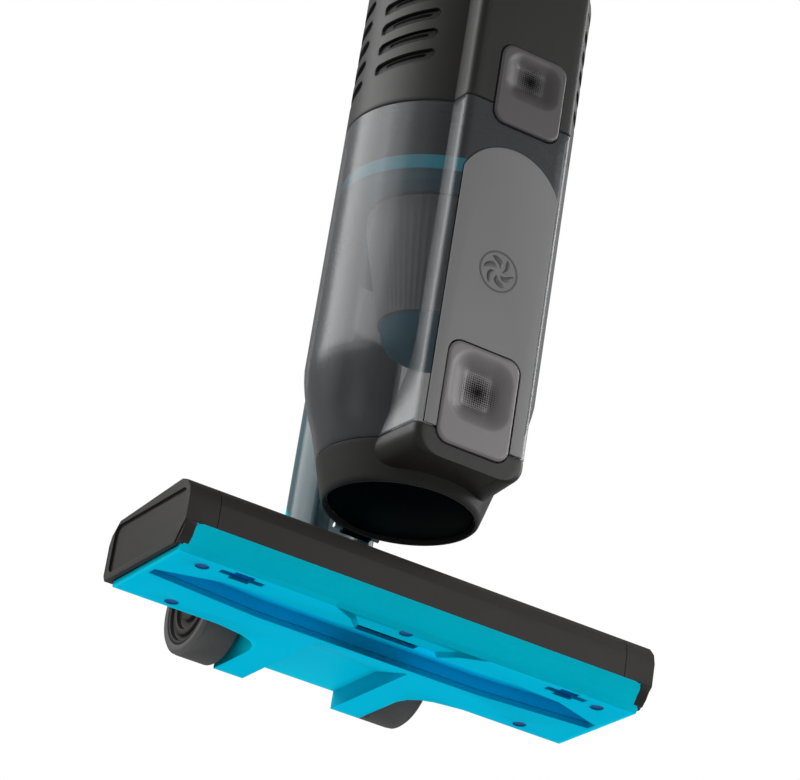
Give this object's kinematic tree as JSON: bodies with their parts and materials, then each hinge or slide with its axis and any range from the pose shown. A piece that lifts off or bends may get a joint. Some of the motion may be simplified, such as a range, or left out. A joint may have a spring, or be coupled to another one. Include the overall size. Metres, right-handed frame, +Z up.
{
  "type": "handheld vacuum",
  "caption": "Cordless hand vacuum standing on a wide floor head, with see-through dust bowl, rear suction duct, reclining neck, wheels and top handle.",
  "frame": {"origin": "on the floor, under the middle of the outer box", "axes": "+Z up, -Y is the front with the spine and its buttons, the wheels are at +Y, +X along the floor head"},
  "size_m": [0.25, 0.1674, 0.4428],
  "materials": {
    "head_black": "fine satin black moulding",
    "sole_cyan": "satin cyan moulding",
    "channel_blue": "satin deep blue moulding",
    "housing_charcoal": "satin charcoal moulding",
    "button_grey": "satin warm grey moulding",
    "panel_grey": "frosted grey panel",
    "bowl_smoke": "clear smoke-tinted moulding",
    "door_smoke": "very dark smoke moulding",
    "duct_teal": "teal-grey see-through moulding",
    "filter_cyan": "satin cyan moulding",
    "filter_teal": "satin teal moulding",
    "filter_grey": "fine grey filter cloth",
    "pale_plastic": "pale grey moulding",
    "wheel_tread": "soft grey-black tread",
    "seal_rubber": "matt black seal rubber",
    "steel": "plain bright steel",
    "winding": "enamelled copper winding",
    "board": "green circuit board",
    "cell_wrap": "shrink-wrapped cells"
  },
  "bodies": {
    "floor_head": {"head_cover": "head_black", "head_sole": "sole_cyan", "channel_liner": "channel_blue", "bumper_left": "head_black", "bumper_right": "head_black", "sole_screw_1": "steel", "sole_screw_2": "steel", "sole_screw_3": "steel", "sole_screw_4": "steel", "sole_screw_5": "steel", "lint_strip": "seal_rubber", "wheel_axle_left": "steel", "wheel_axle_right": "steel", "pivot_pin_left": "steel", "pivot_pin_right": "steel"},
    "wheel_left": {"wheel_hub_left": "head_black", "wheel_tyre_left": "wheel_tread"},
    "wheel_right": {"wheel_hub_right": "head_black", "wheel_tyre_right": "wheel_tread"},
    "neck": {"neck_elbow": "sole_cyan", "neck_spigot": "pale_plastic", "neck_gasket": "seal_rubber", "neck_latch_spring": "steel"},
    "neck_catch": {"neck_latch": "button_grey"},
    "hand_vac": {"motor_housing": "housing_charcoal", "handle_shell_left": "housing_charcoal", "handle_shell_right": "housing_charcoal", "handle_screw_1": "steel", "handle_screw_2": "steel", "inlet_duct": "duct_teal", "inlet_gasket": "seal_rubber", "filter_frame": "filter_cyan", "filter_mesh": "filter_grey", "filter_cone": "filter_teal", "bowl_seal": "seal_rubber", "motor_mount": "head_black", "motor_can": "steel", "motor_stator": "winding", "bearing_lower": "steel", "bearing_upper": "steel", "exhaust_foam": "filter_grey", "circuit_board": "board", "battery_pack": "cell_wrap", "charge_socket": "head_black", "bowl_button_spring": "steel", "power_switch": "head_black"},
    "rotor": {"motor_shaft": "steel", "motor_armature": "winding", "impeller": "pale_plastic"},
    "bowl_release": {"bowl_button": "button_grey"},
    "power_key": {"power_button": "button_grey"},
    "dust_bin": {"dust_bowl": "bowl_smoke", "bowl_collar": "housing_charcoal", "spine_panel": "panel_grey", "door_button_spring": "steel", "bin_door_pin": "steel"},
    "bottom_door": {"bin_door": "door_smoke", "bin_door_seal": "seal_rubber"},
    "door_release": {"door_button": "button_grey"}
  },
  "joints": [
    {"name": "wheel_left_spin", "type": "hinge", "parent": "floor_head", "child": "wheel_left", "pos_m": [-0.05175, 0.0577, 0.026], "axis": [1, 0, 0], "continuous": true},
    {"name": "wheel_right_spin", "type": "hinge", "parent": "floor_head", "child": "wheel_right", "pos_m": [0.05175, 0.0577, 0.026], "axis": [1, 0, 0], "continuous": true},
    {"name": "neck_tilt", "type": "hinge", "parent": "floor_head", "child": "neck", "pos_m": [0, 0.0467, 0.0295], "axis": [-1, 0, 0], "range_deg": [0, 70]},
    {"name": "neck_catch_press", "type": "slide", "parent": "neck", "child": "neck_catch", "axis": [0, 1, 0], "range_m": [0, 0.0015], "stiffness_N_per_m": 400},
    {"name": "lift_off", "type": "slide", "parent": "neck", "child": "hand_vac", "axis": [0, 0, 1], "range_m": [0, 0.045]},
    {"name": "motor_spin", "type": "hinge", "parent": "hand_vac", "child": "rotor", "pos_m": [0, -0.0233, 0.29], "axis": [0, 0, 1], "continuous": true},
    {"name": "bowl_release_press", "type": "slide", "parent": "hand_vac", "child": "bowl_release", "axis": [0, 1, 0], "range_m": [0, 0.0016], "stiffness_N_per_m": 400},
    {"name": "power_press", "type": "slide", "parent": "hand_vac", "child": "power_key", "axis": [0, 0, -1], "range_m": [0, 0.002], "stiffness_N_per_m": 400},
    {"name": "bowl_slide", "type": "slide", "parent": "hand_vac", "child": "dust_bin", "axis": [0, 0, -1], "range_m": [0, 0.01]},
    {"name": "door_open", "type": "hinge", "parent": "dust_bin", "child": "bottom_door", "pos_m": [0, 0.0177, 0.0714], "axis": [1, 0, 0], "range_deg": [0, 17]},
    {"name": "door_release_press", "type": "slide", "parent": "dust_bin", "child": "door_release", "axis": [0, 1, 0], "range_m": [0, 0.0016], "stiffness_N_per_m": 400}
  ]
}
